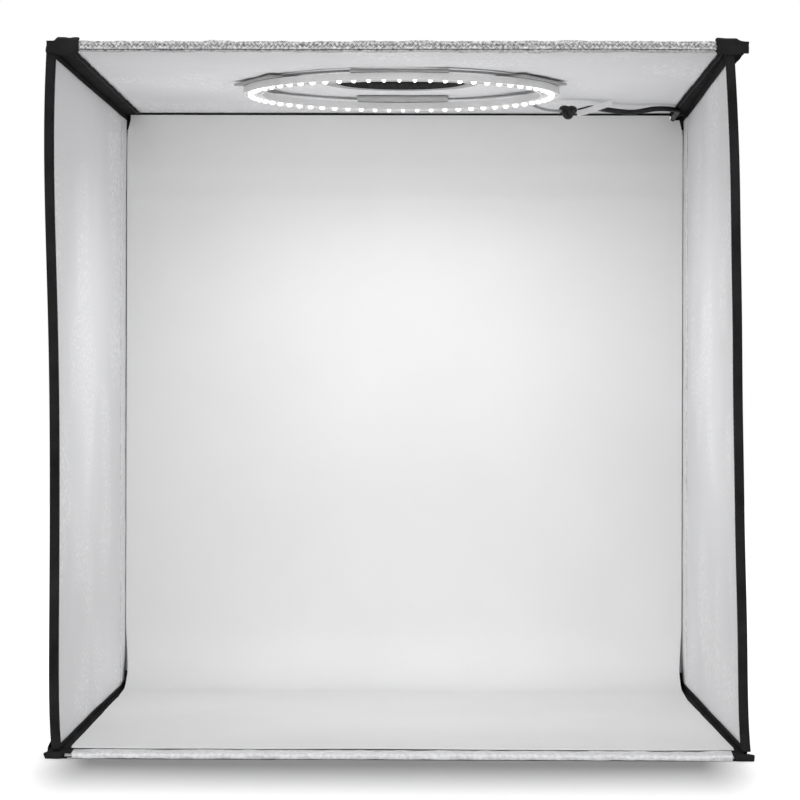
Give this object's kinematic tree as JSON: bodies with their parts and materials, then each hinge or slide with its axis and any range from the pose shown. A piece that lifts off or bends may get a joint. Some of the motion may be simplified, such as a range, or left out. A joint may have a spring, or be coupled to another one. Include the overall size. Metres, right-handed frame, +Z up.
{
  "type": "folding light tent cube",
  "caption": "Open-fronted folding light tent with stiff bound fabric panels, hinged roof and side walls, sweep backdrop, roof viewing hatch, ring light and corded plug.",
  "frame": {"origin": "middle of the base, on the surface that the cube stands on", "axes": "+Z up, -Y out of the open front, +X to the viewer's right"},
  "size_m": [0.403, 0.4807, 0.4139],
  "materials": {
    "cover_fabric": "woven, coated, matt",
    "stiffener": "foamed sheet",
    "silver_liner": "silver coated cloth, satin",
    "edge_tape": "black sewn tape",
    "silver_hem": "silver cloth, crinkled and stitched",
    "backdrop": "white sheet, matt",
    "grey_hook_tape": "grey hook and loop tape",
    "ring_white": "white, satin",
    "lamps": "white board and lamps",
    "cord_jacket": "black, satin",
    "thin_lead": "grey, satin",
    "notch_rubber": "black rubber",
    "white_plastic": "white",
    "black_plastic": "black, fine grain",
    "grey_plastic": "dark grey",
    "plug_steel": "plated"
  },
  "bodies": {
    "root": {"floor_cover": "cover_fabric", "floor_board": "stiffener", "floor_liner": "silver_liner", "floor_binding": "edge_tape", "floor_front_hem": "silver_hem", "rear_cover": "cover_fabric", "rear_board": "stiffener", "rear_liner": "silver_liner", "rear_binding": "edge_tape", "cable_notch_lining": "notch_rubber", "backdrop_sheet": "backdrop", "backdrop_hook_strip": "silver_hem", "left_wall_hinge_tape": "edge_tape", "right_wall_hinge_tape": "edge_tape", "roof_hinge_tape": "edge_tape", "cord_drop": "cord_jacket", "cord_link": "cord_jacket", "cord_coil": "cord_jacket", "cord_tail": "cord_jacket", "coil_tie": "edge_tape", "dimmer_case_lower": "black_plastic", "dimmer_case_upper": "black_plastic", "plug_grip": "black_plastic", "plug_shell": "plug_steel", "plug_contact_plate": "white_plastic"},
    "left_wall": {"left_wall_cover": "cover_fabric", "left_wall_board": "stiffener", "left_wall_liner": "silver_liner", "left_wall_binding": "edge_tape", "left_wall_rear_hem": "silver_hem"},
    "right_wall": {"right_wall_cover": "cover_fabric", "right_wall_board": "stiffener", "right_wall_liner": "silver_liner", "right_wall_binding": "edge_tape", "right_wall_rear_hem": "silver_hem"},
    "roof": {"roof_cover": "cover_fabric", "roof_board": "stiffener", "roof_liner": "silver_liner", "roof_binding": "edge_tape", "roof_front_hem": "silver_hem", "viewing_hole_rim": "grey_hook_tape", "viewing_hole_patch": "silver_liner", "ring_housing": "ring_white", "led_strip": "lamps", "ring_tab_front": "grey_hook_tape", "ring_tab_rear": "grey_hook_tape", "ring_tab_left": "grey_hook_tape", "ring_tab_right": "grey_hook_tape", "ring_lead": "thin_lead", "lead_knot": "cord_jacket", "roof_cord": "cord_jacket", "cord_ribbon": "white_plastic", "hatch_hinge_strip": "edge_tape"},
    "hatch": {"hatch_flap": "cover_fabric", "hatch_binding": "edge_tape", "hatch_pull_tab": "edge_tape"},
    "dimmer_button": {"dimmer_button": "grey_plastic"}
  },
  "joints": [
    {"name": "roof_lift", "type": "hinge", "parent": "root", "child": "roof", "pos_m": [0, 0.2009, 0.40525], "axis": [-1, 0, 0], "range_deg": [0, 180], "deforming": ["roof_hinge_tape"]},
    {"name": "left_wall_drop", "type": "hinge", "parent": "root", "child": "left_wall", "pos_m": [-0.2009, 0, 0.0009], "axis": [0, -1, 0], "range_deg": [0, 90], "deforming": ["left_wall_hinge_tape"]},
    {"name": "right_wall_drop", "type": "hinge", "parent": "root", "child": "right_wall", "pos_m": [0.2009, 0, 0.0009], "axis": [0, 1, 0], "range_deg": [0, 90], "deforming": ["right_wall_hinge_tape"]},
    {"name": "hatch_flip", "type": "hinge", "parent": "roof", "child": "hatch", "pos_m": [0, 0.0389, 0.4142], "axis": [-1, 0, 0], "range_deg": [0, 170]},
    {"name": "dimmer_press", "type": "slide", "parent": "root", "child": "dimmer_button", "axis": [0, 0, -1], "range_m": [0, 0.0008], "stiffness_N_per_m": 400}
  ]
}
